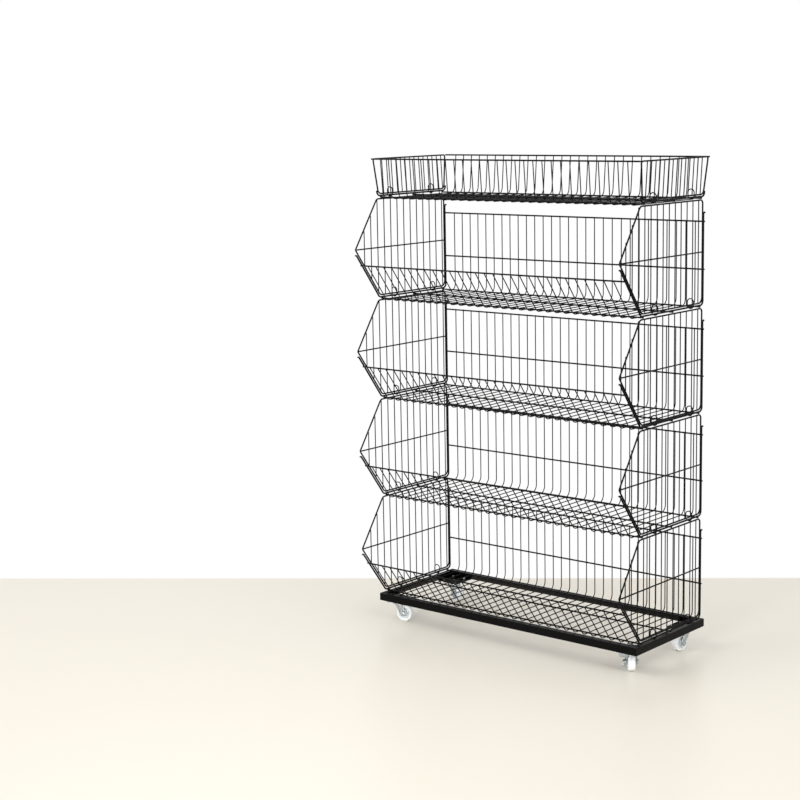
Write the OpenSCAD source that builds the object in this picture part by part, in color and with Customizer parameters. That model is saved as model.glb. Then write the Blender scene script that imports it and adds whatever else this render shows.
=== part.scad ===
// Wheeled wire basket display rack. Four open-fronted baskets and a shallow tray stand
// on each other over an angle-iron base with four swivel casters.
// X runs along the rack, -Y is the open front and +Z is up. The origin is on the floor,
// in the middle of the rack's outline. Lengths are in millimetres, angles in degrees.

/* [Baskets] */
// Width of a basket between its side panels
basket_w = 900; // [600:10:1200]
// Depth of a basket floor between the corners of its end rods
floor_d = 308; // [260:2:400]
// Lean of the front fence, out from the vertical
fence_lean = 37; // [30:1:42]
// Height of the fence's top rail over the floor rods
fence_h = 100; // [75:1:110]
// Height of the back's middle rail over the floor rods
back_mid_h = 96; // [60:1:150]
// Height of the back's top rail over the floor rods
back_top_h = 226; // [180:1:232]
// Height to which the fence's end rods reach
fence_hook_h = 130; // [120:1:134]
// Height to which the back's end rods reach
back_hook_h = 251; // [242:1:262]

/* [Side panels] */
// Height of a side panel between its bottom and top wires
panel_h = 279; // [275:1:333]
// Length of a side panel's top wire
panel_top_d = 307; // [240:1:320]
// Height of the side panel's nose over the floor rods
nose_h = 144; // [144:1:170]
// Distance between the upright wires of a side panel
panel_pitch = 29.5; // [20:0.5:40]

/* [Tray] */
// Depth of the tray floor between the corners of its end rods
tray_floor_d = 312; // [270:1:316]
// Height of the tray's rim rails over its floor rods
tray_rim_h = 106; // [80:1:140]
// Lean of the tray's front and back walls
tray_lean = 5; // [2:0.5:8]
// Lean of the tray's side panels
tray_side_lean = 3.5; // [0:0.5:8]
// Distance between the upright wires of a tray side panel
tray_panel_pitch = 20.8; // [16:0.4:30]

/* [Wires] */
// Diameter of the thin mesh wires
mesh_wire_d = 3; // [2.5:0.1:3.4]
// Diameter of the rails along the rack
rail_d = 4.5; // [4:0.1:5]
// Diameter of the side panels' frame wire
frame_wire_d = 4.5; // [4.2:0.1:5]
// Diameter of the side panels' middle wire
mid_wire_d = 4; // [3.6:0.1:4.1]
// Diameter of the end rods of each basket
rod_d = 5; // [4.6:0.1:5.5]
// Diameter of the hinge loops' wire
loop_wire_d = 3; // [2.5:0.1:3.2]
// Distance between the mesh wires along the rack
mesh_pitch = 30; // [24:1:45]
// Bend radius of the end rods at their centre line
bend_r = 13; // [10:0.5:16]
// Depth to which crossing wires sink into each other in a weld
weld = 0.3; // [0.2:0.05:0.4]

/* [Base] */
// Height of the base angle's outer leg
angle_h = 22.5; // [18:0.5:30]
// Width of the base angle's top leg
angle_w = 17; // [14:1:24]
// Wall of the base angle
angle_t = 3; // [2:0.5:4]
// Side of the square corner plates
corner_plate_w = 74; // [66:1:90]
// Thickness of the corner plates
corner_plate_t = 3; // [2.5:0.5:5]

/* [Casters] */
// Diameter of the wheels
wheel_d = 50; // [46:1:52]
// Width of a wheel's tread
wheel_w = 20; // [16:1:22]
// Height of a caster from the floor to the top of its plate
caster_h = 64; // [64:1:72]
// Distance of the wheel's axle behind the swivel axis
trail = 20; // [16:1:22]
// Side of the square caster plates
caster_plate_w = 58; // [56:1:62]
// Distance between the bolts of a caster plate
bolt_spacing = 44; // [43:0.5:46]
// Distance of the swivel axis from the outside of the base
caster_inset = 40; // [36:1:44]
// Diameter of the axle bolts
axle_d = 8; // [6:0.5:8]
// Diameter of the plate bolts
bolt_d = 6; // [5:0.5:6]

/* [Hidden] */
TIERS = 4;
// Name, side in X, side in Y, swivel angle and brake side of each caster
CASTERS = [
    ["front_left", -1, -1, 17, 1],
    ["front_right", 1, -1, 129, 1],
    ["rear_left", -1, 1, -25, 0],
    ["rear_right", 1, 1, 263, 0]
];
BRAKED = [for (c = CASTERS) if (c[4] != 0) c];
BASKET_PARTS = ["floor", "back", "fence", "left_side", "right_side", "hinge_loops"];
CASTER_PARTS = ["plate", "fork", "wheel", "axle"];

BLACK = "#1c1c1d";
ZINC = "#b7bfbc";
NYLON = "#eef1f2";
WIRE_FN = 24;
ROUND_FN = 64;

// Clearances: under a basket that rests, beside a part that moves, and round a pin
seat_gap = 0.3;
run_gap = 0.3;
pin_gap = 0.1;

// Distances outward from the rods' centre line to the rails and to the mesh wires
rail_c = rod_d / 2 + rail_d / 2 - weld;
mesh_c = rail_c + rail_d / 2 + mesh_wire_d / 2 - weld;

// The side panels stand between the end rods, with their uprights and middle wire inboard
panel_gap = 0.9;
panel_inset = rod_d / 2 + frame_wire_d / 2 + panel_gap;
panel_x = basket_w / 2;
rod_x = panel_x;
tray_foot_gap = 0.3;
infill_in = frame_wire_d / 2 + mesh_wire_d / 2 - weld;
mid_in = frame_wire_d / 2 - mid_wire_d / 2;
rail_overhang = 2;
rail_reach = panel_x + rail_overhang;
rim_reach = rail_reach + (tray_rim_h - panel_inset) * sin(tray_side_lean);
rail_step = 3;
weld_end = 1;

// A bend is a little thicker than its wire, so that the straight lengths end inside it
bend_swell = 0.1;
bend_lap = 0.3;
mesh_gaps = round(2 * rod_x / mesh_pitch);
mesh_xs = [for (i = [1:mesh_gaps - 1]) -rod_x + i * 2 * rod_x / mesh_gaps];

// Outward turned ends of the rods
hook_r = 5;
hook_tip = 1;

// Corner radii of the side panels' frames
foot_r = 16;
heel_r = 16;
tray_foot_r = 14;
crown_r = 10;
brow_r = 14;
nose_r = 5;
tray_corner_r = 6;

// Hinge loops, each between two uprights, with their places counted in pitches from the back
loop_r = 9.5;
loop_leg = 8;
loop_gap = 0.1;
loop_slots = [2, 8];
tray_loop_slots = [3, 12];
loop_z = loop_r - loop_wire_d / 2 - rod_d / 2 - loop_gap;

// Heights: the datum of a basket is the centre line of its floor rods
panel_top_z = panel_inset + panel_h;
tier_pitch = panel_top_z + frame_wire_d / 2 + seat_gap + rail_d / 2 + rail_c;
base_top_z = caster_h + angle_h;
first_datum = base_top_z + seat_gap + rail_d / 2 + rail_c;
tray_datum = first_datum + TIERS * tier_pitch;

// Arc lengths up the walls at which their rails and hooks stand
fence_s = fence_h / cos(fence_lean);
fence_hook_s = fence_hook_h / cos(fence_lean);
tray_rim_s = tray_rim_h / cos(tray_lean);

// Corners of the side panels in Y and Z, anticlockwise from the front foot
foot = [-inner_y(floor_d, fence_lean, panel_inset), panel_inset];
heel = [inner_y(floor_d, 0, panel_inset), panel_inset];
crown = [heel[0], panel_top_z];
brow = [heel[0] - panel_top_d, panel_top_z];
nose = [-inner_y(floor_d, fence_lean, nose_h), nose_h];
tray_rail_y = wall_pt(tray_floor_d, tray_lean, tray_rim_s, rail_c)[0];
tray_heel = [inner_y(tray_floor_d, tray_lean, panel_inset) - tray_foot_gap, panel_inset];
tray_crown = [tray_rail_y - rail_d / 2 - frame_wire_d / 2 - panel_gap, tray_rim_h];
basket_panel = [foot, heel, crown, brow, nose];
tray_panel = [[-tray_heel[0], panel_inset], tray_heel, tray_crown, [-tray_crown[0], tray_rim_h]];

// The base frame stands a little proud of the baskets, and more so at the front
base_margin_x = 4;
base_margin_y = angle_w + 2;
base_forward = 4;
base_w = basket_w + 2 * base_margin_x;
base_d = floor_d + 2 * base_margin_y;

// The rack is centred between its noses and the back of its base or tray
nose_reach = nose_r + frame_wire_d / 2 - corner_centre(brow, nose, foot, nose_r)[0];
tray_reach = wall_pt(tray_floor_d, tray_lean, tray_rim_s + rail_d / 2, mesh_c + mesh_wire_d / 2)[0];
centre_y = (nose_reach - max(base_d / 2 - base_forward, tray_reach)) / 2;

// Caster: plate, race, balls and fork crown from the top down, all round the swivel axis
plate_t = 2.5;
race_r = 17;
race_t = 2.6;
ball_d = 3.6;
ball_gap = 0.15;
ball_ring_r = 12.5;
ball_count = 10;
fork_crown_r = 18;
fork_t = 2.5;
leg_t = 2;
leg_top = 10;
leg_end_r = 9;
hub_gap = 0.5;
race_z = caster_h - plate_t - race_t;
ball_z = race_z - ball_gap - ball_d / 2;
crown_top_z = ball_z - ball_d / 2 - ball_gap;
crown_z = crown_top_z - fork_t;
wheel_r = wheel_d / 2;
hub_r = 9;
hub_w = wheel_w + 4;
web_t = 8;
rim_t = 8;
tread_round = 3;
leg_in = hub_w / 2 + hub_gap;
leg_out = leg_in + leg_t;

// Rivet through each plate and fork, and the hole over its head in the corner plate
rivet_d = 8;
rivet_fit = 0.05;
rivet_head_r = 6.8;
rivet_head_t = 2;
rivet_hole_r = 8;

// Bolts and nuts
bolt_fit = 0.3;
bolt_head_t = 4;
bolt_end = 1.5;
nut_t = 5;
hex_w = 10;
axle_hex_w = 13;
axle_head_t = 5;
axle_nut_t = 5;
thread_fit = 0.05;

// Brake lever beside the fork, with a foot pedal over the wheel and a release tab under it
lever_t = 2;
lever_boss_r = 8;
lever_w = 8;
lever_front = 10;
lever_low = 17;
lever_high = 25;
pedal_w = 15;
pedal_reach = 19;
tab_h = 8;
tab_reach = 10;

function unit(v) = v / norm(v);
function left_of(v) = [-v[1], v[0]];
function corner_turn(a, p, b) = acos(unit(p - a) * unit(b - p));
function setback(a, p, b, r) = r * tan(corner_turn(a, p, b) / 2);
function corner_centre(a, p, b, r) = p - unit(p - a) * setback(a, p, b, r) + left_of(unit(p - a)) * r;
function tangent_pt(p, c, r, side) =
    let (a = atan2(p[1] - c[1], p[0] - c[0]), b = side * acos(r / norm(p - c)))
        c + r * [cos(a + b), sin(a + b)];

// Setback of a floor bend, for a bend radius of 1, under a wall that leans out
function bend_k(lean) = tan((90 - lean) / 2);
// Point [y, z] on a back wall, s along it from the floor corner and c outward from the rods
function wall_pt(depth, lean, s, c) =
    [depth / 2 + s * sin(lean) + c * cos(lean), s * cos(lean) - c * sin(lean)];
// Depth of the floor's middle rail, midway between two uprights of the side panels
function mid_rail_y(rear, pitch) = rear - round(rear / pitch) * pitch;
// Depth from the middle to the line that a side panel's edge follows along the rods
function inner_y(depth, lean, z) =
    depth / 2 - panel_inset * bend_k(lean) + (z - panel_inset) * tan(lean);
// Height on the line from p to q at depth y
function line_z(p, q, y) = p[1] + (y - p[0]) * (q[1] - p[1]) / (q[0] - p[0]);

// Straight wire at x between the points p and q
module strand(x, p, q, d) {
    translate([x, p[0], p[1]])
        rotate([atan2(p[0] - q[0], q[1] - p[1]), 0, 0])
            cylinder(d = d, h = norm(q - p), $fn = WIRE_FN);
}

// Straight wire at x between the ends of two bends, in which it ends
module lapped_strand(x, p, q, d) {
    lap = unit(q - p) * bend_lap;
    strand(x, p - lap, q + lap, d);
}

// Bent wire at x, round a centre in Y and Z
module bend(x, centre, r, start, sweep, d) {
    translate([x, centre[0], centre[1]])
        rotate([90, 0, 90])
            rotate([0, 0, start])
                rotate_extrude(angle = sweep, $fn = ROUND_FN)
                    translate([r, 0])
                        circle(d = d + bend_swell, $fn = WIRE_FN);
}

// Closed wire through rounded corners
module wire_loop(x, pts, radii, d) {
    n = len(pts);
    for (i = [0:n - 1]) {
        a = pts[(i + n - 1) % n];
        p = pts[i];
        q = pts[(i + 1) % n];
        r = pts[(i + 2) % n];
        u = unit(p - a);
        v = unit(q - p);
        bend(x, corner_centre(a, p, q, radii[i]), radii[i], atan2(u[1], u[0]) - 90, corner_turn(a, p, q), d);
        lapped_strand(x, p + v * setback(a, p, q, radii[i]), q - v * setback(p, q, r, radii[(i + 1) % n]), d);
    }
}

module rail(p, reach = rail_reach) {
    translate([-reach, p[0], p[1]])
        rotate([0, 90, 0])
            cylinder(d = rail_d, h = 2 * reach, $fn = WIRE_FN);
}

// Floor wire with its two bends, which end where the walls begin
module floor_strand(x, c, d, depth, front_lean, rear_lean) {
    front = depth / 2 - bend_r * bend_k(front_lean);
    rear = depth / 2 - bend_r * bend_k(rear_lean);
    lapped_strand(x, [-front, -c], [rear, -c], d);
    mirror([0, 1, 0])
        bend(x, [front, bend_r], bend_r + c, 270, 90 - front_lean, d);
    bend(x, [rear, bend_r], bend_r + c, 270, 90 - rear_lean, d);
}

// Floor mesh: rods over three rails over the mesh wires
module mesh_floor(depth, front_lean, rear_lean, mid_y) {
    for (x = mesh_xs)
        floor_strand(x, mesh_c, mesh_wire_d, depth, front_lean, rear_lean);
    for (side = [-1, 1])
        floor_strand(side * rod_x, 0, rod_d, depth, front_lean, rear_lean);
    front_rail_y = -depth / 2 + bend_r * bend_k(front_lean) + rail_step;
    rear_rail_y = depth / 2 - bend_r * bend_k(rear_lean) - rail_step;
    for (y = [front_rail_y, mid_y, rear_rail_y])
        rail([y, -rail_c]);
}

// Wall mesh at the back: thin wires up to the top rail
module mesh_wall(depth, lean, rails, reach = rail_reach) {
    start = bend_r * bend_k(lean);
    top = max(rails) + rail_d / 2;
    for (x = mesh_xs)
        strand(x, wall_pt(depth, lean, start, mesh_c), wall_pt(depth, lean, top, mesh_c), mesh_wire_d);
    for (s = rails)
        rail(wall_pt(depth, lean, s, rail_c), reach);
}

// End rods up the back wall, with their tips turned outward
module wall_rods(depth, lean, hook_s) {
    start = bend_r * bend_k(lean);
    tip = hook_r + hook_tip;
    for (x = [-rod_x, rod_x]) {
        strand(x, wall_pt(depth, lean, start, 0), wall_pt(depth, lean, hook_s - hook_r + bend_lap, 0), rod_d);
        bend(x, wall_pt(depth, lean, hook_s - hook_r, hook_r), hook_r, 90 - lean, 90, rod_d);
        strand(x, wall_pt(depth, lean, hook_s, hook_r - bend_lap), wall_pt(depth, lean, hook_s, tip), rod_d);
    }
}

// Upright wires of a side panel, between its lower and its upper outline
module panel_uprights(x, pitch, front, rear, lower, upper) {
    count = floor((rear - front) / pitch);
    for (i = [1:count]) {
        y = rear - (i - 0.5) * pitch;
        low = max([for (edge = lower) line_z(edge[0], edge[1], y)]);
        high = min([for (edge = upper) line_z(edge[0], edge[1], y)]);
        strand(x, [y, low - weld_end], [y, high + weld_end], mesh_wire_d);
    }
}

module basket_side(side) {
    x = side * panel_x;
    wire_loop(x, basket_panel, [foot_r, heel_r, crown_r, brow_r, nose_r], frame_wire_d);
    panel_uprights(x - side * infill_in, panel_pitch, nose[0], heel[0],
        [[foot, heel], [nose, foot]], [[crown, brow], [brow, nose]]);
    strand(x - side * mid_in, [nose[0] + mid_wire_d / 2, nose_h], [heel[0], nose_h], mid_wire_d);
}

module tray_side(side) {
    x = side * panel_x;
    translate([x, 0, panel_inset])
        rotate([0, side * tray_side_lean, 0])
            translate([-x, 0, -panel_inset]) {
                wire_loop(x, tray_panel, [tray_foot_r, tray_foot_r, tray_corner_r, tray_corner_r], frame_wire_d);
                panel_uprights(x - side * infill_in, tray_panel_pitch, -tray_heel[0], tray_heel[0],
                    [[tray_panel[0], tray_heel]], [[tray_crown, tray_panel[3]]]);
            }
}

// Upright wire loops that hold the side panels' bottom wires to the end rods
module hinge_loops(rear, pitch, slots) {
    for (side = [-1, 1], slot = slots)
        translate([side * rod_x, rear - slot * pitch, loop_z])
            rotate([0, 0, 90]) {
                bend(0, [0, loop_leg], loop_r, 0, 180, loop_wire_d);
                bend(0, [0, 0], loop_r, 180, 180, loop_wire_d);
                for (y = [-loop_r, loop_r])
                    lapped_strand(0, [y, 0], [y, loop_leg], loop_wire_d);
            }
}

// Plan of an angle's leg that is w wide, with its ends mitred
module mitred(length, w) {
    polygon([[-length / 2, 0], [length / 2, 0], [length / 2 - w, w], [w - length / 2, w]]);
}

module base_angle(length) {
    translate([0, 0, base_top_z - angle_t])
        linear_extrude(angle_t)
            mitred(length, angle_w);
    translate([0, 0, caster_h])
        linear_extrude(angle_h)
            mitred(length, angle_t);
}

module at_pivot(c) {
    translate([c[1] * (base_w / 2 - caster_inset), c[2] * (base_d / 2 - caster_inset), 0])
        children();
}

module at_casters() {
    for (c = CASTERS)
        at_pivot(c)
            children();
}

// On a caster's fork, as it happens to point
module on_fork(c) {
    on_base()
        at_pivot(c)
            rotate([0, 0, c[3]])
                children();
}

module at_bolts() {
    for (x = [-1, 1], y = [-1, 1])
        translate([x * bolt_spacing / 2, y * bolt_spacing / 2, 0])
            children();
}

module hex_prism(across, h) {
    cylinder(d = across / cos(30), h = h, $fn = 6);
}

module corner_plates() {
    inset = angle_t + corner_plate_w / 2;
    difference() {
        for (x = [-1, 1], y = [-1, 1])
            translate([x * (base_w / 2 - inset), y * (base_d / 2 - inset), caster_h + corner_plate_t / 2])
                cube([corner_plate_w, corner_plate_w, corner_plate_t], center = true);
        at_casters() {
            translate([0, 0, caster_h - 1])
                cylinder(r = rivet_hole_r, h = corner_plate_t + 2, $fn = ROUND_FN);
            at_bolts()
                translate([0, 0, caster_h - 1])
                    cylinder(d = bolt_d + 2 * bolt_fit, h = corner_plate_t + 2, $fn = ROUND_FN);
        }
    }
}

module plate_bolt() {
    head_z = caster_h + corner_plate_t;
    end_z = caster_h - plate_t - nut_t - bolt_end;
    translate([0, 0, head_z])
        hex_prism(hex_w, bolt_head_t);
    translate([0, 0, end_z])
        cylinder(d = bolt_d, h = head_z - end_z, $fn = ROUND_FN);
}

module plate_nut() {
    translate([0, 0, caster_h - plate_t - nut_t])
        difference() {
            hex_prism(hex_w, nut_t);
            translate([0, 0, -1])
                cylinder(d = bolt_d + 2 * thread_fit, h = nut_t + 2, $fn = ROUND_FN);
        }
}

module swivel_rivet() {
    translate([0, 0, caster_h])
        cylinder(r = rivet_head_r, h = rivet_head_t, $fn = ROUND_FN);
    translate([0, 0, crown_z - run_gap - rivet_head_t])
        cylinder(r = rivet_head_r, h = rivet_head_t, $fn = ROUND_FN);
    translate([0, 0, crown_z - run_gap - rivet_head_t])
        cylinder(d = rivet_d, h = caster_h + 2 * rivet_head_t - crown_z + run_gap, $fn = ROUND_FN);
}

module swivel_ball_ring() {
    for (i = [0:ball_count - 1])
        rotate([0, 0, i * 360 / ball_count])
            translate([ball_ring_r, 0, ball_z])
                sphere(d = ball_d, $fn = WIRE_FN);
}

module caster_plate() {
    difference() {
        union() {
            translate([0, 0, caster_h - plate_t / 2])
                cube([caster_plate_w, caster_plate_w, plate_t], center = true);
            translate([0, 0, race_z])
                cylinder(r = race_r, h = race_t + plate_t / 2, $fn = ROUND_FN);
        }
        translate([0, 0, race_z - 1])
            cylinder(d = rivet_d + 2 * rivet_fit, h = race_t + plate_t + 2, $fn = ROUND_FN);
        at_bolts()
            translate([0, 0, caster_h - plate_t - 1])
                cylinder(d = bolt_d + 2 * bolt_fit, h = plate_t + 2, $fn = ROUND_FN);
    }
}

// Plate in X and Z that is t thick and starts at y
module upright_plate(y, t) {
    translate([0, y + t, 0])
        rotate([90, 0, 0])
            linear_extrude(t)
                children();
}

module fork_leg_outline() {
    axle = [trail, wheel_r];
    top_left = [-leg_top, crown_top_z];
    top_right = [leg_top, crown_top_z];
    difference() {
        union() {
            polygon([top_left, top_right, tangent_pt(top_right, axle, leg_end_r, -1),
                tangent_pt(top_left, axle, leg_end_r, 1)]);
            translate(axle)
                circle(r = leg_end_r, $fn = ROUND_FN);
        }
        translate(axle)
            circle(d = axle_d + 2 * pin_gap, $fn = ROUND_FN);
    }
}

module caster_fork() {
    difference() {
        union() {
            translate([0, 0, crown_z])
                cylinder(r = fork_crown_r, h = fork_t, $fn = ROUND_FN);
            upright_plate(leg_in, leg_t)
                fork_leg_outline();
            upright_plate(-leg_out, leg_t)
                fork_leg_outline();
        }
        translate([0, 0, crown_z - 1])
            cylinder(d = rivet_d + 2 * pin_gap, h = fork_t + 2, $fn = ROUND_FN);
    }
}

// Half section of a wheel: tread, web and hub round the bore
module wheel_section() {
    difference() {
        union() {
            translate([0, -hub_w / 2])
                square([hub_r, hub_w]);
            translate([0, -web_t / 2])
                square([wheel_r - rim_t / 2, web_t]);
            translate([wheel_r - rim_t, tread_round - wheel_w / 2])
                square([rim_t, wheel_w - 2 * tread_round]);
            translate([wheel_r - rim_t, -wheel_w / 2])
                square([rim_t - tread_round, wheel_w]);
            for (side = [-1, 1])
                translate([wheel_r - tread_round, side * (wheel_w / 2 - tread_round)])
                    circle(r = tread_round, $fn = WIRE_FN);
        }
        translate([-1, -hub_w])
            square([1 + axle_d / 2 + pin_gap, 2 * hub_w]);
    }
}

module caster_wheel() {
    translate([trail, 0, wheel_r])
        rotate([90, 0, 0])
            rotate_extrude($fn = ROUND_FN)
                wheel_section();
}

// Axle bolt with its head on one leg of the fork and its nut on the other, past any lever
module caster_axle(brake) {
    nut_y = leg_out + (brake == 0 ? 0 : lever_t + 2 * run_gap);
    end_y = nut_y + axle_nut_t + bolt_end;
    mirror([0, brake == 1 ? 0 : 1, 0])
        translate([trail, 0, wheel_r])
            rotate([-90, 0, 0]) {
                translate([0, 0, -leg_out - axle_head_t])
                    hex_prism(axle_hex_w, axle_head_t);
                translate([0, 0, -leg_out])
                    cylinder(d = axle_d, h = leg_out + end_y, $fn = ROUND_FN);
                translate([0, 0, nut_y])
                    difference() {
                        hex_prism(axle_hex_w, axle_nut_t);
                        translate([0, 0, -1])
                            cylinder(d = axle_d + 2 * thread_fit, h = axle_nut_t + 2, $fn = ROUND_FN);
                    }
            }
}

module brake_lever(brake) {
    side_y = leg_out + run_gap;
    front = lever_front - lever_t;
    mirror([0, brake == 1 ? 0 : 1, 0])
        translate([trail, 0, wheel_r]) {
            upright_plate(side_y, lever_t)
                difference() {
                    union() {
                        circle(r = lever_boss_r, $fn = ROUND_FN);
                        translate([lever_front - lever_w, -lever_low])
                            square([lever_w, lever_low + lever_high]);
                    }
                    circle(d = axle_d + 2 * run_gap, $fn = ROUND_FN);
                }
            translate([front, side_y, lever_high - pedal_w])
                cube([lever_t, pedal_reach - pedal_w / 2, pedal_w]);
            translate([front, side_y + pedal_reach - pedal_w / 2, lever_high - pedal_w / 2])
                rotate([0, 90, 0])
                    cylinder(d = pedal_w, h = lever_t, $fn = ROUND_FN);
            translate([front, side_y, -lever_low])
                cube([lever_t, tab_reach, tab_h]);
        }
}

module on_base() {
    translate([0, centre_y - base_forward, 0])
        children();
}

module at_datum(z) {
    translate([0, centre_y, z])
        children();
}

for (k = [1:TIERS]) {
    datum = first_datum + (k - 1) * tier_pitch;
    color(BLACK) at_datum(datum)
            mesh_floor(floor_d, fence_lean, 0, mid_rail_y(heel[0], panel_pitch));
    color(BLACK) at_datum(datum) {
            mesh_wall(floor_d, 0, [back_mid_h, back_top_h]);
            wall_rods(floor_d, 0, back_hook_h);
        }
    color(BLACK) at_datum(datum) mirror([0, 1, 0]) {
            mesh_wall(floor_d, fence_lean, [fence_s]);
            wall_rods(floor_d, fence_lean, fence_hook_s);
        }
    color(BLACK) at_datum(datum) basket_side(-1);
    color(BLACK) at_datum(datum) basket_side(1);
    color(BLACK) at_datum(datum) hinge_loops(heel[0], panel_pitch, loop_slots);
}
color(BLACK) at_datum(tray_datum)  // tray_floor
        mesh_floor(tray_floor_d, tray_lean, tray_lean, mid_rail_y(tray_heel[0], tray_panel_pitch));
color(BLACK) at_datum(tray_datum) mesh_wall(tray_floor_d, tray_lean, [tray_rim_s], rim_reach);  // tray_back
color(BLACK) at_datum(tray_datum) mirror([0, 1, 0])  // tray_front
        mesh_wall(tray_floor_d, tray_lean, [tray_rim_s], rim_reach);
color(BLACK) at_datum(tray_datum) tray_side(-1);  // tray_left_side
color(BLACK) at_datum(tray_datum) tray_side(1);  // tray_right_side
color(BLACK) at_datum(tray_datum) hinge_loops(tray_heel[0], tray_panel_pitch, tray_loop_slots);  // tray_hinge_loops
color(BLACK) on_base() translate([0, -base_d / 2, 0]) base_angle(base_w);  // base_front_angle
color(BLACK) on_base() rotate([0, 0, 180]) translate([0, -base_d / 2, 0]) base_angle(base_w);  // base_rear_angle
color(BLACK) on_base() rotate([0, 0, -90]) translate([0, -base_w / 2, 0]) base_angle(base_d);  // base_left_angle
color(BLACK) on_base() rotate([0, 0, 90]) translate([0, -base_w / 2, 0]) base_angle(base_d);  // base_right_angle
color(BLACK) on_base() corner_plates();
color(ZINC) on_base() at_casters() at_bolts() plate_bolt();  // caster_bolts
color(ZINC) on_base() at_casters() at_bolts() plate_nut();  // caster_nuts
color(ZINC) on_base() at_casters() swivel_rivet();  // swivel_rivets
color(ZINC) on_base() at_casters() swivel_ball_ring();  // swivel_balls
for (c = CASTERS) {
    color(ZINC) on_base() at_pivot(c) caster_plate();
    color(ZINC) on_fork(c) caster_fork();
    color(NYLON) on_fork(c) caster_wheel();
    color(ZINC) on_fork(c) caster_axle(c[4]);
}
for (c = BRAKED)
    color(ZINC) on_fork(c) brake_lever(c[4]);
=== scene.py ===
"""Wheeled wire basket display rack: the looks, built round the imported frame.

Lengths are in metres. X runs along the rack, -Y is its open front and +Z is up.
"""

import logging
import math
import random
from dataclasses import dataclass, field
from enum import Enum

import bmesh
import bpy
from bmesh.types import BMEdge, BMesh, BMVert
from bpy.types import Material, NodeTree, Object
from mathutils import Matrix, Vector


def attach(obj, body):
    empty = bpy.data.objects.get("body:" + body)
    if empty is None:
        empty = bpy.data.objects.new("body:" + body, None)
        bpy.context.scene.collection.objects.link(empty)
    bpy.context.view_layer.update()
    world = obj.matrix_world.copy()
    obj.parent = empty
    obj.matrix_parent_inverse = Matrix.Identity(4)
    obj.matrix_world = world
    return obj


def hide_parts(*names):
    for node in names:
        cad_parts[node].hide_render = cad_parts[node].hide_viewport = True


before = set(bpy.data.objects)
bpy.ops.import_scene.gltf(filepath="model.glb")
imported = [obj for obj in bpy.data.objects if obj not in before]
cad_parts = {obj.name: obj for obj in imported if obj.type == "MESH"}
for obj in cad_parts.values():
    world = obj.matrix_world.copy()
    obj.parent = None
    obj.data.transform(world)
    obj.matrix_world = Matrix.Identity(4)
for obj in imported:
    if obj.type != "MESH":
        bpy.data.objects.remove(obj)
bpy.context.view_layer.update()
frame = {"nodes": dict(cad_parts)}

logging.basicConfig(level=logging.INFO, format="%(message)s")
log = logging.getLogger("rack")

X_AXIS = Vector((1, 0, 0))
Y_AXIS = Vector((0, 1, 0))
Z_AXIS = Vector((0, 0, 1))
CORNERS = [(x, y) for x in (-1, 1) for y in (-1, 1)]
WHITE = (1, 1, 1, 1)

# Depth of the baskets' middle, which centres the whole rack's outline on the origin.
BASKETS_Y = 0.0408462
BASE_Y = BASKETS_Y - 0.004
FIRST_FLOOR = 0.0935


class Slot(Enum):
    """The record's material slots."""

    COAT = "black_coat"
    ZINC = "zinc_plate"
    NYLON = "white_nylon"


# Finishes


def feed(tree: NodeTree, target: object, value: object) -> None:
    """Links a socket to an input, or sets the input to a plain value."""
    if isinstance(value, bpy.types.NodeSocket):
        tree.links.new(value, target)
    else:
        target.default_value = value


def add_node(tree: NodeTree, kind: str, inputs: dict, **settings: object) -> object:
    """Adds a shader node.

    Args:
        tree: tree that it is added to.
        kind: its type, after ShaderNode.
        inputs: socket or value of each input, by the input's name or number.
        settings: the node's own settings.

    Returns:
        The node's outputs.
    """
    node = tree.nodes.new(f"ShaderNode{kind}")
    for name, value in settings.items():
        setattr(node, name, value)
    for key, value in inputs.items():
        feed(tree, node.inputs[key], value)
    return node.outputs


def seen_rays(tree: NodeTree) -> object:
    """Adds a value that is 1 on camera rays, in reflections and through glass.

    Args:
        tree: tree that it is added to.

    Returns:
        The value socket.
    """
    rays = add_node(tree, "LightPath", {})
    seen = rays["Is Camera Ray"]
    for name in ("Is Glossy Ray", "Is Transmission Ray"):
        seen = add_node(tree, "Math", {0: seen, 1: rays[name]}, operation="MAXIMUM")["Value"]
    return seen


def swap_surface(tree: NodeTree, share: object, plain: object, white: object, end: str) -> None:
    """Feeds the output node named end with a plain shader, and a white one where a share is 1."""
    mixed = add_node(tree, "MixShader", {"Fac": share, 1: plain, 2: white})["Shader"]
    tree.links.new(mixed, tree.nodes[end].inputs["Surface"])


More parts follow.
